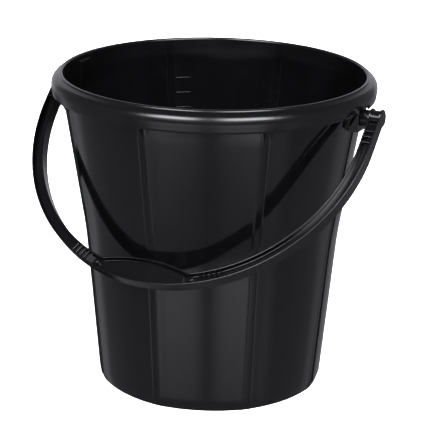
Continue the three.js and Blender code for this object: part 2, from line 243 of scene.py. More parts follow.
def strip_raise(across):
    """How far a strip stands out from the wall at a distance across from its middle."""
    return dict(STRIP_EDGE).get(abs(across), STRIP_RAISE)


def panel_sink(along):
    """How far the wall is drawn in, as a share of its radius, at an angle in degrees from a strip."""
    return PANEL_FLATNESS * math.radians(along) * math.radians(SECTOR - along) / 2


def arc(centre, width, height, start, end, steps):
    """Points of an elliptical arc between two angles in degrees."""
    angles = [math.radians(start + (end - start) * step / steps) for step in range(steps + 1)]
    return [(centre[0] + width * math.cos(a), centre[1] + height * math.sin(a)) for a in angles]


def skirt_outside(height):
    """Radius of the rolled rim's outside and of the skirt under it."""
    if height <= BULGE[1]:
        return RIM - SKIRT_RETURN * (BULGE[1] - height) / (BULGE[1] - SKIRT_END)
    return BULGE[0] + BULGE_WIDTH * math.sqrt(1 - ((height - BULGE[1]) / BULGE_HEIGHT) ** 2)


def skirt_inside(height):
    """Radius of the hollow inside the rolled rim and the skirt."""
    if height <= BULGE[1]:
        return skirt_outside(height) - RIM_SHELL
    width, rise = BULGE_WIDTH - RIM_SHELL, BULGE_HEIGHT - RIM_SHELL
    return BULGE[0] + width * math.sqrt(1 - ((height - BULGE[1]) / rise) ** 2)


def notch_edge(across):
    """Height of the skirt's lower edge at a distance across from the handle's pivot line."""
    inside = NOTCH_HALF - abs(across)
    if inside <= 0:
        return SKIRT_END
    top = PIVOT + NOTCH_TOP
    if inside >= NOTCH_ROUND:
        return top
    return top - NOTCH_ROUND + math.sqrt(NOTCH_ROUND**2 - (NOTCH_ROUND - inside) ** 2)


def wall_heights(low, high, step):
    """Evenly spaced heights from low to high, about a step apart."""
    count = round((high - low) / step)
    return [low + (high - low) * i / count for i in range(count + 1)]


def flat_share(radius, height):
    """How much of the wall's flats and fullness a point of the section takes: all of it below the throat."""
    if radius > wall_radius(min(height, NECK)) + WALL_MARGIN:
        return 0
    return smooth((NECK - height) / (NECK - THROAT))


def shell_profile(skirt_end):
    """Half the bucket's section as (radius, height, how far the strips stand out there)."""
    foot_outer = wall_radius(0) - FOOT_STEP
    foot_inner = foot_outer - FOOT_RING
    wall_low = FOOT_HEIGHT + FOOT_ROUND
    points = [(r, FLOOR_LIFT, 0) for r in (*FLOOR_RINGS, foot_inner - FOOT_ROUND)]
    points += [(foot_inner, FOOT_ROUND / 2, 0), (foot_inner + FOOT_ROUND / 2, 0, 0)]
    foot_round = (foot_outer - FOOT_ROUND, FOOT_ROUND)
    points += [(r, z, 0) for r, z in arc(foot_round, FOOT_ROUND, FOOT_ROUND, -90, 0, steps=5)]
    points += [(foot_outer + LOWER_FLARE * FOOT_HEIGHT, FOOT_HEIGHT, 0)]
    points += [(foot_outer + FOOT_STEP + out, FOOT_HEIGHT + up, share) for out, up, share in WALL_EDGE]
    points += [(wall_radius(z), z, 1) for z in wall_heights(wall_low, THROAT, WALL_ROW)]
    for height in wall_heights(THROAT, NECK, NECK_ROW)[1:]:
        points.append((wall_radius(height), height, (NECK - height) / (NECK - THROAT)))
    hollow_size = (BULGE_WIDTH - RIM_SHELL, BULGE_HEIGHT - RIM_SHELL)
    hollow = arc(BULGE, *hollow_size, HOLLOW_MEET, HOLLOW_END, steps=5)
    points += [(r, z, 0) for r, z in hollow]
    bend = BULGE[1] + SKIRT_BEND
    sides = [bend + (skirt_end + SKIRT_EDGE - bend) * i / SKIRT_STEPS for i in range(SKIRT_STEPS + 1)]
    points += [(skirt_inside(z), z, 0) for z in sides]
    edge_in, edge_out = skirt_inside(skirt_end), skirt_outside(skirt_end)
    points += [(edge_in + SKIRT_INNER_CORNER[0], skirt_end + SKIRT_INNER_CORNER[1], 0)]
    points += [((edge_in + edge_out) / 2, skirt_end, 0)]
    points += [(edge_out - SKIRT_OUTER_CORNER[0], skirt_end + SKIRT_OUTER_CORNER[1], 0)]
    points += [(skirt_outside(z), z, 0) for z in reversed(sides)]
    start = math.degrees(math.asin((bend - BULGE[1]) / BULGE_HEIGHT))
    roll = arc(BULGE, BULGE_WIDTH, BULGE_HEIGHT, start, BULGE_MEET, steps=14)
    points += [(r, z, 0) for r, z in roll[1:]]
    bead = (LIP_RADIUS + BEAD, HEIGHT - BEAD)
    points += [(r, z, 0) for r, z in arc(bead, BEAD, BEAD, *BEAD_ANGLES, steps=16)]
    for height in wall_heights(THROAT, HEIGHT - BEAD, NECK_ROW)[1:-1][::-1]:
        share = (height - THROAT) / (HEIGHT - BEAD - THROAT)
        inside = THROAT_RADIUS - WALL + (LIP_RADIUS - THROAT_RADIUS + WALL) * share
        points.append((inside, height, 1 - share))
    inner_low = FLOOR_TOP + FLOOR_FILLET
    points += [(wall_radius(z) - WALL, z, 1) for z in reversed(wall_heights(inner_low, THROAT, WALL_ROW))]
    corner = (wall_radius(inner_low) - WALL - FLOOR_FILLET, inner_low)
    fillet = arc(corner, FLOOR_FILLET, FLOOR_FILLET, 0, -90, steps=6)[1:]
    last = len(fillet) - 1
    points += [(r, z, 0.5 * (1 - i / last)) for i, (r, z) in enumerate(fillet)]
    points += [(r, FLOOR_TOP, 0) for r in reversed(FLOOR_RINGS)]
    return points


def shell_columns():
    """Columns of the shell: (azimuth, distance across from it, angle from the nearest strip before it)."""
    strip_places = [place for place, _ in STRIP_EDGE]
    across = [-a for a in strip_places] + [0] + list(reversed(strip_places))
    notch_angles = [math.degrees((NOTCH_HALF + out) / RIM) for out in NOTCH_COLUMNS]
    columns = []
    for panel in range(PANELS):
        azimuth = panel * SECTOR
        columns += [(azimuth, place, 0.0) for place in across]
        width = SECTOR - 2 * PANEL_START
        angles = [PANEL_START + width * i / PANEL_STEPS for i in range(PANEL_STEPS + 1)]
        before, after = azimuth % 180 == 90, (azimuth + SECTOR) % 180 == 90
        near = [a for a in notch_angles if before] + [SECTOR - a for a in notch_angles if after]
        angles = [a for a in angles if all(abs(a - b) > COLUMN_CLEARANCE for b in near)] + near
        columns += [(azimuth, 0.0, angle) for angle in sorted(angles)]
    return columns


def facing_out(data):
    """Turns all faces of a closed mesh outwards."""
    mesh = bmesh.new()
    mesh.from_mesh(data)
    bmesh.ops.recalc_face_normals(mesh, faces=mesh.faces)
    mesh.to_mesh(data)
    mesh.free()


def placed(name, data):
    """A new object in the scene, for a mesh, a light or a camera."""
    made = bpy.data.objects.new(name, data)
    bpy.context.scene.collection.objects.link(made)
    return made


def to_object(name, verts, faces):
    """A closed mesh from points in millimetres, with its faces turned outwards."""
    mesh = bpy.data.meshes.new(name)
    mesh.from_pydata([tuple(c * MM for c in v) for v in verts], [], faces)
    facing_out(mesh)
    return placed(name, mesh)


def grid_faces(rows, columns, closed_columns=True, closed_rows=False):
    """Quads between neighbouring columns of points, each column having the same number of rows."""
    faces = []
    for i in range(columns if closed_columns else columns - 1):
        for j in range(rows if closed_rows else rows - 1):
            a, b = i * rows, ((i + 1) % columns) * rows
            faces.append((a + j, a + (j + 1) % rows, b + (j + 1) % rows, b + j))
    return faces


def pole_faces(rows, columns, first, last):
    """Triangles from the start of each column to the point numbered first, and from its end to last."""
    faces = []
    for i in range(columns):
        a, b = i * rows, ((i + 1) % columns) * rows
        faces += [(first, a, b), (last, b + rows - 1, a + rows - 1)]
    return faces


def shell_object():
    """The wall, floor, foot and rolled rim as one closed mesh."""
    columns = shell_columns()
    verts = []
    for azimuth, across, along in columns:
        nearest = round((azimuth + along) / 180 - 0.5) * 180 + 90
        off = math.radians(azimuth + along - nearest) * RIM + across
        end = notch_edge(off)
        fullness = WALL_FULLNESS * math.sin(math.radians(azimuth + along)) ** 2
        sink = panel_sink(along) if along else 0
        for radius, height, share in shell_profile(end):
            fade = radius / (radius + AXIS_FADE)
            reach = radius + flat_share(radius, height) * (fullness - sink * radius) * fade
            reach += share * strip_raise(across) * (along == 0)
            angle = math.radians(azimuth + along) + across / max(radius, STRIP_TAPER)
            verts.append((reach * math.sin(angle), -reach * math.cos(angle), height))
    rows = len(verts) // len(columns)
    faces = [tuple(reversed(f)) for f in grid_faces(rows, len(columns))]
    faces += pole_faces(rows, len(columns), len(verts), len(verts) + 1)
    verts += [(0, 0, FLOOR_LIFT), (0, 0, FLOOR_TOP)]
    return to_object("bucket_moulding", verts, faces)


def plate_object(name, outline, low, high, bevel=0.0, steps=2):
    """A flat outline as a plate from one level to another, with its rims rounded."""
    mesh = bmesh.new()
    base = [mesh.verts.new((x, y, low)) for x, y in outline]
    face = mesh.faces.new(base)
    mesh.normal_update()
    top = bmesh.ops.extrude_face_region(mesh, geom=[face])["geom"]
    lifted = [v for v in top if isinstance(v, bmesh.types.BMVert)]
    bmesh.ops.translate(mesh, vec=(0, 0, high - low), verts=lifted)
    bmesh.ops.recalc_face_normals(mesh, faces=mesh.faces)
    if bevel:
        edges = [e for e in mesh.edges if e.calc_face_angle(0) > math.radians(PLATE_EDGE)]
        bmesh.ops.bevel(mesh, geom=edges, offset=bevel, segments=steps, profile=0.5, affect="EDGES",
                        clamp_overlap=True)
    bmesh.ops.scale(mesh, vec=(MM, MM, MM), verts=mesh.verts)
    data = bpy.data.meshes.new(name)
    mesh.to_mesh(data)
    mesh.free()
    return placed(name, data)


def box_object(name, low, high, bevel=0.0):
    """A box between two corners, with its edges rounded."""
    outline = [(low[0], low[1]), (high[0], low[1]), (high[0], high[1]), (low[0], high[1])]
    return plate_object(name, outline, low[2], high[2], bevel)


def turned_object(name, profile, segments, closed=False):
    """A profile of (place along X, radius) turned about X; it ends on the axis unless it is closed."""
    inner = profile if closed else profile[1:-1]
    verts = []
    for i in range(segments):
        angle = 2 * math.pi * i / segments
        verts += [(x, r * math.cos(angle), r * math.sin(angle)) for x, r in inner]
    rows = len(inner)
    faces = grid_faces(rows, segments, closed_rows=closed)
    if not closed:
        faces += pole_faces(rows, segments, len(verts), len(verts) + 1)
        verts += [(profile[0][0], 0, 0), (profile[-1][0], 0, 0)]
    return to_object(name, verts, faces)


def rounded(corners, steps=4):
    """A polyline whose corners, given as (x, y, radius), are replaced by arcs."""
    out = []
    count = len(corners)
    for i, (x, y, radius) in enumerate(corners):
        here = Vector((x, y))
        before = Vector(corners[i - 1][:2]) - here
        after = Vector(corners[(i + 1) % count][:2]) - here
        if not radius:
            out.append((x, y))
            continue
        half = before.angle(after) / 2
        start = here + before.normalized() * (radius / math.tan(half))
        end = here + after.normalized() * (radius / math.tan(half))
        centre = here + (before.normalized() + after.normalized()).normalized() * (radius / math.sin(half))
        first, last = start - centre, end - centre
        turn = first.angle_signed(last)
        for step in range(steps + 1):
            spoke = Matrix.Rotation(-turn * step / steps, 2) @ first
            out.append(tuple(centre + spoke))
    return out


def moved(made, matrix):
    """Moves a shape's mesh, so that its object stays at the origin."""
    made.data.transform(matrix)
    return made


def about_z(made, azimuth):
    """Turns a shape made on the +X side so that it faces an azimuth counted from the front."""
    return moved(made, Matrix.Rotation(math.radians(azimuth - 90), 4, "Z"))


def combine(target, tool, operation):
    """Joins tool to target, or cuts it away, and removes the tool."""
    change = target.modifiers.new("change", "BOOLEAN")
    change.operation = operation
    change.solver = "MANIFOLD"
    change.object = tool
    bpy.context.view_layer.update()
    evaluated = target.evaluated_get(bpy.context.evaluated_depsgraph_get())
    mesh = bpy.data.meshes.new_from_object(evaluated)
    target.modifiers.clear()
    target.data = mesh
    bpy.data.objects.remove(tool)
    return target


def joined(name, parts):
    """Several separate shapes as one object."""
    mesh = bmesh.new()
    for part in parts:
        mesh.from_mesh(part.data)
        bpy.data.objects.remove(part)
    data = bpy.data.meshes.new(name)
    mesh.to_mesh(data)
    mesh.free()
    return placed(name, data)


def gusset(thickness, azimuth):
    """One upright plate between the wall and the inside of the rolled rim."""
    foot = HEIGHT - GUSSET_DROP
    top = HEIGHT - BULGE_DROP + BULGE_HEIGHT - RIM_SHELL
    outer = RIM - GUSSET_INSET
    outline = [(wall_radius(foot) - EMBED, foot), (outer, SKIRT_END + BEAD), (outer, BULGE[1] + BEAD),
               (LIP_RADIUS + WALL, top), (wall_radius(top) - EMBED, top)]
    plate = plate_object("gusset", outline, -thickness / 2, thickness / 2, PLATE_ROUND)
    return about_z(moved(plate, Matrix.Rotation(math.pi / 2, 4, "X")), azimuth)


def ear(side):
    """One ear on the +X or -X side: a pocket open below with a hole for the peg, and a cap into the skirt."""
    low, high = PIVOT - EAR_BELOW, PIVOT + EAR_ABOVE
    back = wall_radius(low) - EAR_EMBED
    block = box_object("ear", (back, -EAR_HALF, low), (EAR_FACE, EAR_HALF, high), EAR_ROUND)
    inner, outer = wall_radius(PIVOT + POCKET_ABOVE) + EMBED, EAR_FACE - EAR_PLATE
    half, top = EAR_HALF - EAR_SIDE, PIVOT + POCKET_ABOVE
    pocket = box_object("pocket", (inner, -half, low - OVERCUT), (outer, half, top), POCKET_ROUND)
    past = EAR_FACE + OVERCUT
    bore = turned_object("bore", [(inner, 0), (inner, BORE_RADIUS), (past, BORE_RADIUS), (past, 0)], 48)
    moved(bore, Matrix.Translation((0, 0, PIVOT * MM)))
    combine(combine(block, pocket, "DIFFERENCE"), bore, "DIFFERENCE")
    cap_low = (EAR_FACE - EAR_OVERLAP, -EAR_HALF, PIVOT + NOTCH_TOP)
    cap = box_object("cap", cap_low, (RIM - RIM_SHELL / 2, EAR_HALF, BULGE[1]))
    return about_z(combine(block, cap, "UNION"), 90 * side)


def level_bars():
    """The plain level bars up the inside of the wall."""
    bars = []
    for index in range(BARS):
        height = HEIGHT - BAR_DROP - index * BAR_PITCH
        face = wall_radius(height) * (1 - panel_sink(BAR_AZIMUTH % SECTOR)) - WALL - BAR_RAISE
        low = (face, -BAR_SIZE[1] / 2, height - BAR_SIZE[2] / 2)
        high = (face + BAR_SIZE[0], BAR_SIZE[1] / 2, height + BAR_SIZE[2] / 2)
        bars.append(about_z(box_object("bar", low, high, BAR_ROUND), BAR_AZIMUTH))
    return bars


def floor_ribs():
    """Ribs under the floor from its middle ring to the foot ring, one under each panel."""
    reach = wall_radius(0) - FOOT_STEP - FOOT_RING + EMBED
    low = (FLOOR_BOSS, -FLOOR_RIB / 2, FLOOR_RIB_LOW)
    high = (reach, FLOOR_RIB / 2, FLOOR_LIFT + EMBED)
    ribs = []
    for index in range(PANELS):
        ribs.append(about_z(box_object("rib", low, high, PLATE_ROUND), (index + 0.5) * SECTOR))
    return ribs


def floor_boss():
    """The ring in the middle of the floor's underside, and the stub of the moulding gate inside it."""
    high = FLOOR_LIFT + EMBED
    inside, outside = FLOOR_BOSS - FLOOR_RIB, FLOOR_BOSS + EMBED
    section = [(FLOOR_RIB_LOW, inside), (FLOOR_RIB_LOW, outside), (high, outside), (high, inside)]
    low = FLOOR_LIFT - GATE_DEPTH
    pin = [(low, 0), (low, GATE_RADIUS - GATE_CHAMFER), (low + GATE_CHAMFER, GATE_RADIUS),
           (high, GATE_RADIUS), (high, 0)]
    upright = Matrix.Rotation(-math.pi / 2, 4, "Y")
    ring = turned_object("ring", section, 64, closed=True)
    gate = turned_object("gate", pin, 32)
    return [moved(ring, upright), moved(gate, upright)]


def bucket_object():
    """The whole bucket moulding as one closed mesh."""
    bucket = shell_object()
    first = floor_ribs() + level_bars()
    for panel in range(PANELS):
        if panel * SECTOR % 180 != 90:
            first.append(gusset(GUSSET, panel * SECTOR))
    away = math.degrees(EAR_RIB_AWAY / RIM)
    first += [gusset(EAR_RIB, 90 * side + turn) for side in (-1, 1) for turn in (-away, away)]
    combine(bucket, joined("plates", first), "UNION")
    return combine(bucket, joined("ears", floor_boss() + [ear(-1), ear(1)]), "UNION")


# The handle is drawn flat: X across, -Y along its legs and Z through its depth, with its pivot line on X.


def inner_edge(inset, place):
    """Point of the handle's inner edge, moved inwards by an inset. From -1 to 1, place is along the grip."""
    corner = math.sqrt(HANDLE_INNER**2 - GRIP_HALF**2)
    rise = corner - (HANDLE_INNER - GRIP_RISE)
    arc_radius = (GRIP_HALF**2 + rise**2) / (2 * rise)
    spacing = HANDLE_INNER - GRIP_RISE + arc_radius
    near, far = HANDLE_INNER + inset, arc_radius - inset
    along = (near**2 - far**2 + spacing**2) / (2 * spacing)
    side = math.asin(math.sqrt(near**2 - along**2) / near)
    if abs(place) >= 1:
        angle = math.copysign(side + (abs(place) - 1) * (math.pi / 2 - side), place)
        return near * math.sin(angle), -LEG - near * math.cos(angle)
    angle = place * side
    reach = spacing * math.cos(angle) - math.sqrt(far**2 - (spacing * math.sin(angle)) ** 2)
    return reach * math.sin(angle), -LEG - reach * math.cos(angle)


def outer_edge(inset, place):
    """Point of the handle's outer edge, moved inwards by an inset, with places as on the inner edge."""
    side = math.asin(GRIP_HALF / HANDLE_INNER)
    share = abs(place) * side if abs(place) <= 1 else side + (abs(place) - 1) * (math.pi / 2 - side)
    angle = math.copysign(share, place)
    radius = HANDLE_OUTER - inset
    return radius * math.sin(angle), -LEG - radius * math.cos(angle)


def handle_section():
    """The H section as (which edge, inset from it, depth), going once round."""
    web = FLANGE + WEB_REACH
    flange = rounded([(0, -HALF_DEPTH, EDGE_ROUND), (0, HALF_DEPTH, EDGE_ROUND),
                      (FLANGE, HALF_DEPTH, EDGE_ROUND), (FLANGE, HALF_WEB, WEB_ROUND),
                      (web, HALF_WEB, 0), (web, -HALF_WEB, 0),
                      (FLANGE, -HALF_WEB, WEB_ROUND), (FLANGE, -HALF_DEPTH, EDGE_ROUND)])
    middle = [i for i, (x, _) in enumerate(flange) if x == web]
    outer = flange[middle[1] + 1:] + flange[:middle[0]]
    ring = [("outer", inset, depth) for inset, depth in outer]
    return ring + [("inner", inset, -depth) for inset, depth in outer]


def handle_sweep():
    """The H section led down one leg, round both arms and the grip, and up the other leg."""
    section = handle_section()
    places = [-2 + i / ARM_STEPS for i in range(ARM_STEPS)]
    places += [-1 + 2 * i / GRIP_STEPS for i in range(GRIP_STEPS + 1)]
    places += [1 + (i + 1) / ARM_STEPS for i in range(ARM_STEPS)]
    legs = [LEG * i / LEG_STEPS for i in range(LEG_STEPS)]
    verts = []

    def ring(place, rise):
        for edge, inset, depth in section:
            x, y = outer_edge(inset, place) if edge == "outer" else inner_edge(inset, place)
            verts.append((x, y + rise, depth))

    for down in legs:
        ring(-2, LEG - down)
    for place in places:
        ring(place, 0)
    for down in reversed(legs):
        ring(2, LEG - down)
    rows = len(section)
    columns = len(verts) // rows
    faces = grid_faces(rows, columns, closed_columns=False, closed_rows=True)
    faces.append(tuple(reversed(range(rows))))
    faces.append(tuple(range(len(verts) - rows, len(verts))))
    return to_object("handle_moulding", verts, faces)


def plaque():
    """The crescent that fills the middle of the grip, on both sides of the web."""
    outer = HANDLE_OUTER - FLANGE / 2
    shares = [1 - 2 * i / PLAQUE_STEPS for i in range(PLAQUE_STEPS + 1)]
    inner_arc = [inner_edge(FLANGE + PLAQUE_GAP, PLAQUE_REACH * share) for share in shares]
    half = math.asin(inner_arc[-1][0] / outer)
    outer_arc = [(outer * math.sin(half * share), -LEG - outer * math.cos(half * share)) for share in shares]
    return plate_object("plaque", inner_arc + outer_arc, -PLAQUE_DEPTH, PLAQUE_DEPTH, PLAQUE_ROUND, 3)


def cross_rib(across, along, angle):
    """One rib across the channel, between the two flanges, turned to lie across the arm."""
    length = HANDLE_OUTER - HANDLE_INNER - FLANGE
    corner = Vector((length / 2, RIB / 2, RIB_HALF_DEPTH))
    rib = box_object("rib", tuple(-corner), tuple(corner), RIB_ROUND)
    place = Matrix.Translation((across * MM, -along * MM, 0)) @ Matrix.Rotation(angle, 4, "Z")
    return moved(rib, place)


def handle_details(side):
    """The cross ribs and the knob on one side of the handle."""
    middle = (HANDLE_INNER + HANDLE_OUTER) / 2
    parts = [cross_rib(side * middle, down, 0) for down in LEG_RIBS]
    for index in range(GRIP_RIBS):
        angle = math.radians(GRIP_RIB_START + index * GRIP_RIB_PITCH)
        place = (side * middle * math.sin(angle), LEG + middle * math.cos(angle))
        parts.append(cross_rib(*place, side * (angle - math.pi / 2)))
    outline = [(-RIB_HALF_DEPTH, 0, 0), (-RIB_HALF_DEPTH, KNOB_RADIUS, KNOB_ROUND),
               (RIB_HALF_DEPTH, KNOB_RADIUS, KNOB_ROUND), (RIB_HALF_DEPTH, 0, 0)]
    knob = moved(turned_object("knob", rounded(outline), 32), Matrix.Rotation(math.pi / 2, 4, "Y"))
    angle = math.radians(KNOB_ANGLE)
    place = (side * middle * math.sin(angle) * MM, (-LEG - middle * math.cos(angle)) * MM, 0)
    parts.append(moved(knob, Matrix.Translation(place)))
    return parts


def hub(side):
    """The hub with its two cheeks on one side, and the collar, peg and head round the pivot line."""
    inner_plate = EAR_FACE - EAR_PLATE
    head = inner_plate - END_CLEARANCE - HEAD_LENGTH
    collar = EAR_FACE + END_CLEARANCE
    end = HANDLE_OUTER + HUB_PROUD
    pin = [(head, 0, 0), (head, HEAD_RADIUS, HEAD_ROUND), (head + HEAD_LENGTH, HEAD_RADIUS, HEAD_BACK_ROUND),
           (head + HEAD_LENGTH, PEG_RADIUS, PEG_FILLET), (collar, PEG_RADIUS, PEG_FILLET),
           (collar, COLLAR_RADIUS, COLLAR_ROUND), (HANDLE_INNER + EMBED, COLLAR_RADIUS, 0),
           (HANDLE_INNER + EMBED, 0, 0)]
    inner_cheek, outer_cheek = HANDLE_INNER + FLANGE, HANDLE_OUTER - FLANGE
    body = [(HANDLE_INNER, 0, 0), (HANDLE_INNER, HUB_RADIUS, CHEEK_ROUND),
            (inner_cheek, HUB_RADIUS, CHEEK_ROUND), (inner_cheek, CORE_RADIUS, CORE_FILLET),
            (outer_cheek, CORE_RADIUS, CORE_FILLET), (outer_cheek, HUB_RADIUS, CHEEK_ROUND),
            (end, HUB_RADIUS, HUB_ROUND), (end, 0, 0)]
    made = moved(turned_object("hub", rounded(body), 96), Matrix.Translation((0, HUB_RISE * MM, 0)))
    combine(made, turned_object("pin", rounded(pin), 96), "UNION")
    moved(made, Matrix.Scale(side, 4, Vector((1, 0, 0))))
    facing_out(made.data)
    return made


def rest_angle():
    """The angle below level at which the CAD handle hangs, from its box."""
    forward, down = -handle_low.y, PIVOT - handle_low.z
    reach = LEG + HANDLE_OUTER
    cosine = reach * forward - HALF_DEPTH * down
    sine = reach * down - HALF_DEPTH * forward
    return math.atan2(sine, cosine)


def handle_object():
    """The whole handle moulding as one closed mesh, hanging as the CAD handle does."""
    handle = handle_sweep()
    combine(handle, joined("details", handle_details(-1) + handle_details(1) + [plaque()]), "UNION")
    combine(handle, joined("hubs", [hub(-1), hub(1)]), "UNION")
    place = Matrix.Translation((0, 0, PIVOT * MM)) @ Matrix.Rotation(rest_angle(), 4, "X")
    return moved(handle, place)


def shade(made, material):
    """Smooths a piece, with its sharp edges kept, and gives it its material."""
    made.data.shade_smooth()
    made.data.set_sharp_from_angle(angle=math.radians(SHARP_EDGE))
    weighted = made.modifiers.new("weighted_normals", "WEIGHTED_NORMAL")
    weighted.weight = NORMAL_WEIGHT
    weighted.keep_sharp = True
    made.data.materials.clear()
    made.data.materials.append(material)


# Materials

# In metres: how near an edge the plastic counts as rubbed, and how deep the peel and the flow marks are.
WORN_EDGE = 0.0007
PEEL_DEPTH = 0.00003
FLOW_DEPTH = 0.0002
# The flow marks are lighter by this factor, and marks make the surface rougher by this much.
FLOW_TONE = 1.35
MARK_ROUGHNESS = 0.25
# The rim is rougher than the wall by this much, from this many metres above the skirt's end.
MATTE_GAIN = 0.11
MATTE_FADE = 0.006
FLOOR_GLOW = 0.85


class Nodes:
    """A short way to add and link shader nodes."""

    def __init__(self, tree):
        self.tree = tree
        tree.nodes.clear()

    def add(self, kind, inputs=None, **settings):
        """A new node with its inputs fed and its settings made."""
        node = self.tree.nodes.new(kind)
        for key, value in settings.items():
            setattr(node, key, value)
        for key, value in (inputs or {}).items():
            self.feed(node.inputs[key], value)
        return node

    def feed(self, socket, value):
        """Links another node's output to a socket, or sets a plain value on it."""
        if isinstance(value, bpy.types.NodeSocket):
            self.tree.links.new(value, socket)
        else:
            socket.default_value = value

    def math(self, operation, *values):
        """The result of a sum on numbers or other nodes' outputs."""
        node = self.tree.nodes.new("ShaderNodeMath")
        node.operation = operation
        for socket, value in zip(node.inputs, values):
            self.feed(socket, value)
        return node.outputs[0]

    def spread(self, value, low, high, start=0.0, end=1.0):
        """A value between low and high, eased to between start and end."""
        ends = {"Value": value, "From Min": low, "From Max": high, "To Min": start, "To Max": end}
        return self.add("ShaderNodeMapRange", ends, interpolation_type="SMOOTHSTEP").outputs[0]

    def noise(self, vector, scale, detail=2.0, roughness=0.5):
        """Noise with so many waves to the metre."""
        node = self.add("ShaderNodeTexNoise", {"Vector": vector, "Scale": scale, "Detail": detail,
                                               "Roughness": roughness})
        return node.outputs["Fac"]

    def stretched(self, vector, scale):
        """Places scaled by a different amount along each axis."""
        return self.add("ShaderNodeMapping", {"Vector": vector, "Scale": scale}).outputs[0]


def plastic(name, colour, worn, gloss, peel, matte_above=None):
    """Black moulded plastic: faint peel and flow marks, dust, scuffs, and rubbed edges."""
    material = bpy.data.materials.new(name)
    material.use_nodes = True
    nodes = Nodes(material.node_tree)
    place = nodes.add("ShaderNodeTexCoord").outputs["Object"]
    flow = nodes.noise(nodes.stretched(place, (30, 30, 4)), 1.0, 3.0)
    cloud = nodes.noise(place, 22.0, 4.0)
    grain = nodes.noise(place, 900.0, 3.0)
    pits = nodes.noise(place, 2600.0, 2.0)
    scuff_lines = nodes.noise(nodes.stretched(place, (90, 90, 1400)), 1.0, 3.0, 0.6)
    scuff_zone = nodes.noise(place, 13.0, 2.0)
    lines, zone = nodes.spread(scuff_lines, 0.62, 0.72), nodes.spread(scuff_zone, 0.55, 0.7)
    scuffs = nodes.math("MULTIPLY", lines, zone)
    dust = nodes.math("MULTIPLY", nodes.spread(pits, 0.66, 0.72), nodes.spread(cloud, 0.42, 0.62))
    softened = nodes.add("ShaderNodeBevel", {"Radius": WORN_EDGE}, samples=4)
    facing = nodes.add("ShaderNodeNewGeometry").outputs["Normal"]
    turn = nodes.add("ShaderNodeVectorMath", operation="DOT_PRODUCT")
    nodes.feed(turn.inputs[0], softened.outputs[0])
    nodes.feed(turn.inputs[1], facing)
    edge = nodes.spread(turn.outputs["Value"], 0.97, 0.8)
    rubbed = nodes.math("MULTIPLY", edge, nodes.spread(grain, 0.3, 0.7, 0.4, 1.0))
    marks = nodes.math("MAXIMUM", nodes.math("MULTIPLY", scuffs, 0.3), nodes.math("MULTIPLY", dust, 0.3))
    marks = nodes.math("MAXIMUM", marks, nodes.math("MULTIPLY", rubbed, 0.35))
    base = nodes.add("ShaderNodeMix", {"Factor": nodes.spread(flow, 0.3, 0.7)}, data_type="RGBA")
    base.inputs["A"].default_value = (*colour, 1)
    base.inputs["B"].default_value = (*[c * FLOW_TONE for c in colour], 1)
    tint = nodes.add("ShaderNodeMix", {"Factor": marks}, data_type="RGBA")
    nodes.feed(tint.inputs["A"], base.outputs["Result"])
    tint.inputs["B"].default_value = (*worn, 1)
    rough = nodes.math("ADD", gloss, nodes.spread(cloud, 0.3, 0.7, -0.012, 0.03))
    rough = nodes.math("ADD", rough, nodes.math("MULTIPLY", marks, MARK_ROUGHNESS))
    if matte_above:
        level = nodes.add("ShaderNodeSeparateXYZ", {"Vector": place}).outputs["Z"]
        matte = nodes.spread(level, matte_above, matte_above + MATTE_FADE, 0.0, MATTE_GAIN)
        rough = nodes.math("ADD", rough, matte)
    relief = nodes.math("ADD", nodes.math("MULTIPLY", grain, peel), nodes.math("MULTIPLY", scuffs, -0.6))
    bump = nodes.add("ShaderNodeBump", {"Strength": 0.35, "Distance": PEEL_DEPTH, "Height": relief})
    wave = nodes.add("ShaderNodeBump", {"Strength": 0.5, "Distance": FLOW_DEPTH, "Height": flow,
                                        "Normal": bump.outputs[0]})
    shader = nodes.add("ShaderNodeBsdfPrincipled", {"Base Color": tint.outputs["Result"], "Roughness": rough,
                                                    "IOR": 1.5, "Normal": wave.outputs[0]})
    nodes.add("ShaderNodeOutputMaterial", {"Surface": shader.outputs[0]})
    return material


def floor_material():
    """A plain pale floor with a faint unevenness of tone, lit enough to stay white."""
    material = bpy.data.materials.new("studio_floor")
    material.use_nodes = True
    nodes = Nodes(material.node_tree)
    place = nodes.add("ShaderNodeTexCoord").outputs["Object"]
    tone = nodes.spread(nodes.noise(place, 3.0, 3.0), 0.3, 0.7, 0.9, 0.93)
    colour = nodes.add("ShaderNodeCombineColor", {"Red": tone, "Green": tone, "Blue": tone})
    shader = nodes.add("ShaderNodeBsdfPrincipled", {
        "Base Color": colour.outputs[0], "Roughness": 0.7,
        "Emission Color": (1, 1, 1, 1), "Emission Strength": FLOOR_GLOW})
    nodes.add("ShaderNodeOutputMaterial", {"Surface": shader.outputs[0]})
    return material


# Camera, floor and light

CAMERA_AZIMUTH = 26.2
CAMERA_PITCH = 18.29
CAMERA_ROLL = 1.11
CAMERA_DISTANCE = 1.6628
CAMERA_AIM = Vector((0.0081, 0.0039, 0.1437))
CAMERA_VIEW = 13.89
CAMERA_SENSOR = 36
CAMERA_CLIP = (0.05, 20)

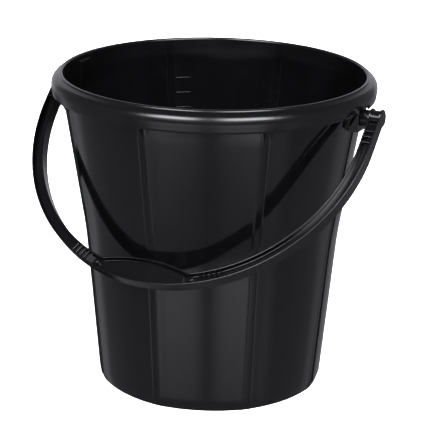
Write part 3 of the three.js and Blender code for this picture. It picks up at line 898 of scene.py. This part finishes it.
# Soft cards round the set: azimuth from the front, its half width and softness, elevation, its half height
# and softness, and brightness. Later cards lie over earlier ones.
CARDS = {
    "sky": (0, 200, 1, 90, 60, 30, 0.12),
    "softbox_left": (-6, 18, 16, 39, 15, 15, 15.0),
    "softbox_right": (53, 20, 16, 39, 15, 15, 15.0),
    "back_wall": (-150, 32, 14, 15, 28, 8, 0.62),
    "back_floor": (-167, 20, 8, -30, 13, 3, 0.25),
    "right_back": (148, 8, 10, -30, 16, 8, 0.32),
    "right_gap": (164, 8, 3, -32, 13, 3, 0.03),
    "left_gap": (-129, 11, 3, -32, 14, 3, 0.02),
    "left_card": (-106, 5, 14, -18, 22, 8, 0.45),
    "front_left": (-2, 18, 20, -24, 8.5, 10, 1.15),
    "front_right": (46, 17, 20, -24, 8.5, 10, 1.2),
    "right_card": (84, 6, 14, -24, 10, 8, 0.4),
}
ROOM = 0.2
WHITE = (0.985, 0.99, 1.06, 1)

# Softboxes in metres: azimuth, elevation, width and height, all at one distance and equally bright.
SOFTBOXES = {"softbox_left": (-7, 42, 0.85, 1.0), "softbox_right": (53, 42, 1.1, 1.0)}
SOFTBOX_DISTANCE = 1.7
SOFTBOX_RADIANCE = 14

# The studio floor in millimetres: half its width, its underside and its top.
FLOOR_HALF = 4000
FLOOR_LEVELS = (-20, -0.2)


def outwards(azimuth, elevation):
    """Direction from the object at an azimuth counted from the front and an elevation, in degrees."""
    turn, rise = math.radians(azimuth), math.radians(elevation)
    return Vector((math.sin(turn) * math.cos(rise), -math.cos(turn) * math.cos(rise), math.sin(rise)))


def cards_world():
    """The world with its soft cards, placed by direction alone."""
    world = bpy.data.worlds.new("studio")
    bpy.context.scene.world = world
    world.use_nodes = True
    nodes = Nodes(world.node_tree)
    direction = nodes.add("ShaderNodeTexCoord").outputs["Generated"]
    split = nodes.add("ShaderNodeSeparateXYZ", {"Vector": direction})
    x, y, z = split.outputs
    azimuth = nodes.math("DEGREES", nodes.math("ARCTAN2", x, nodes.math("MULTIPLY", y, -1.0)))
    elevation = nodes.math("DEGREES", nodes.math("ARCSINE", z))
    level = None
    for turn, width, turn_soft, rise, height, rise_soft, bright in CARDS.values():
        around = nodes.math("WRAP", nodes.math("SUBTRACT", azimuth, turn), 180.0, -180.0)
        away = nodes.math("ABSOLUTE", around)
        across = nodes.spread(away, width - turn_soft / 2, width + turn_soft / 2, 1.0, 0.0)
        off = nodes.math("ABSOLUTE", nodes.math("SUBTRACT", elevation, rise))
        upright = nodes.spread(off, height - rise_soft / 2, height + rise_soft / 2, 1.0, 0.0)
        share = nodes.math("MULTIPLY", across, upright)
        before = ROOM if level is None else level
        mixed = nodes.add("ShaderNodeMix", {"Factor": share}, data_type="FLOAT")
        nodes.feed(mixed.inputs["A"], before)
        mixed.inputs["B"].default_value = bright
        level = mixed.outputs["Result"]
    back = nodes.add("ShaderNodeBackground", {"Color": WHITE, "Strength": level})
    nodes.add("ShaderNodeOutputWorld", {"Surface": back.outputs[0]})


def softbox(name, azimuth, elevation, width, height):
    """An area light that looks at the middle of the bucket. The world's cards stand for it in reflections."""
    data = bpy.data.lights.new(name, "AREA")
    data.shape = "RECTANGLE"
    data.size, data.size_y = width, height
    data.energy = SOFTBOX_RADIANCE * math.pi * width * height
    box = placed(name, data)
    out = outwards(azimuth, elevation)
    target = Vector((0, 0, HEIGHT * MM / 2))
    box.location = target + out * SOFTBOX_DISTANCE
    box.rotation_mode = "QUATERNION"
    box.rotation_quaternion = out.to_track_quat("Z", "Y")
    box.visible_glossy = False


def camera():
    """The scene's camera, at the viewing angle that shows the bucket's front and its right ear."""
    data = bpy.data.cameras.new("camera")
    data.sensor_width = CAMERA_SENSOR
    data.lens = CAMERA_SENSOR / 2 / math.tan(math.radians(CAMERA_VIEW) / 2)
    data.clip_start, data.clip_end = CAMERA_CLIP
    made = placed("camera", data)
    out = outwards(CAMERA_AZIMUTH, CAMERA_PITCH)
    made.location = CAMERA_AIM + out * CAMERA_DISTANCE
    made.rotation_mode = "QUATERNION"
    level = out.to_track_quat("Z", "Y").to_matrix()
    made.rotation_quaternion = (level @ Matrix.Rotation(math.radians(CAMERA_ROLL), 3, "Z")).to_quaternion()
    bpy.context.scene.camera = made


def studio():
    """Camera, light and floor."""
    camera()
    cards_world()
    for name, box in SOFTBOXES.items():
        softbox(name, *box)
    low, high = FLOOR_LEVELS
    floor = box_object("floor", (-FLOOR_HALF, -FLOOR_HALF, low), (FLOOR_HALF, FLOOR_HALF, high))
    floor.data.materials.append(floor_material())
    floor.visible_glossy = False
    bpy.context.scene.view_settings.view_transform = "Standard"


# Colours of the plastic, and of its rubbed and dusty places.
BLACK = (0.0008, 0.0008, 0.0009)
BUCKET_WORN = (0.016, 0.016, 0.017)
HANDLE_WORN = (0.02, 0.02, 0.021)

studio()
bucket_plastic = plastic("bucket_plastic", BLACK, BUCKET_WORN, gloss=0.085, peel=1.0,
                         matte_above=SKIRT_END * MM)
handle_plastic = plastic("handle_plastic", BLACK, HANDLE_WORN, gloss=0.12, peel=1.6)

bucket = bucket_object()
shade(bucket, bucket_plastic)
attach(bucket, "bucket")
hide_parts("bucket_body")

handle = handle_object()
shade(handle, handle_plastic)
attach(handle, "handle")
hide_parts("carry_handle")
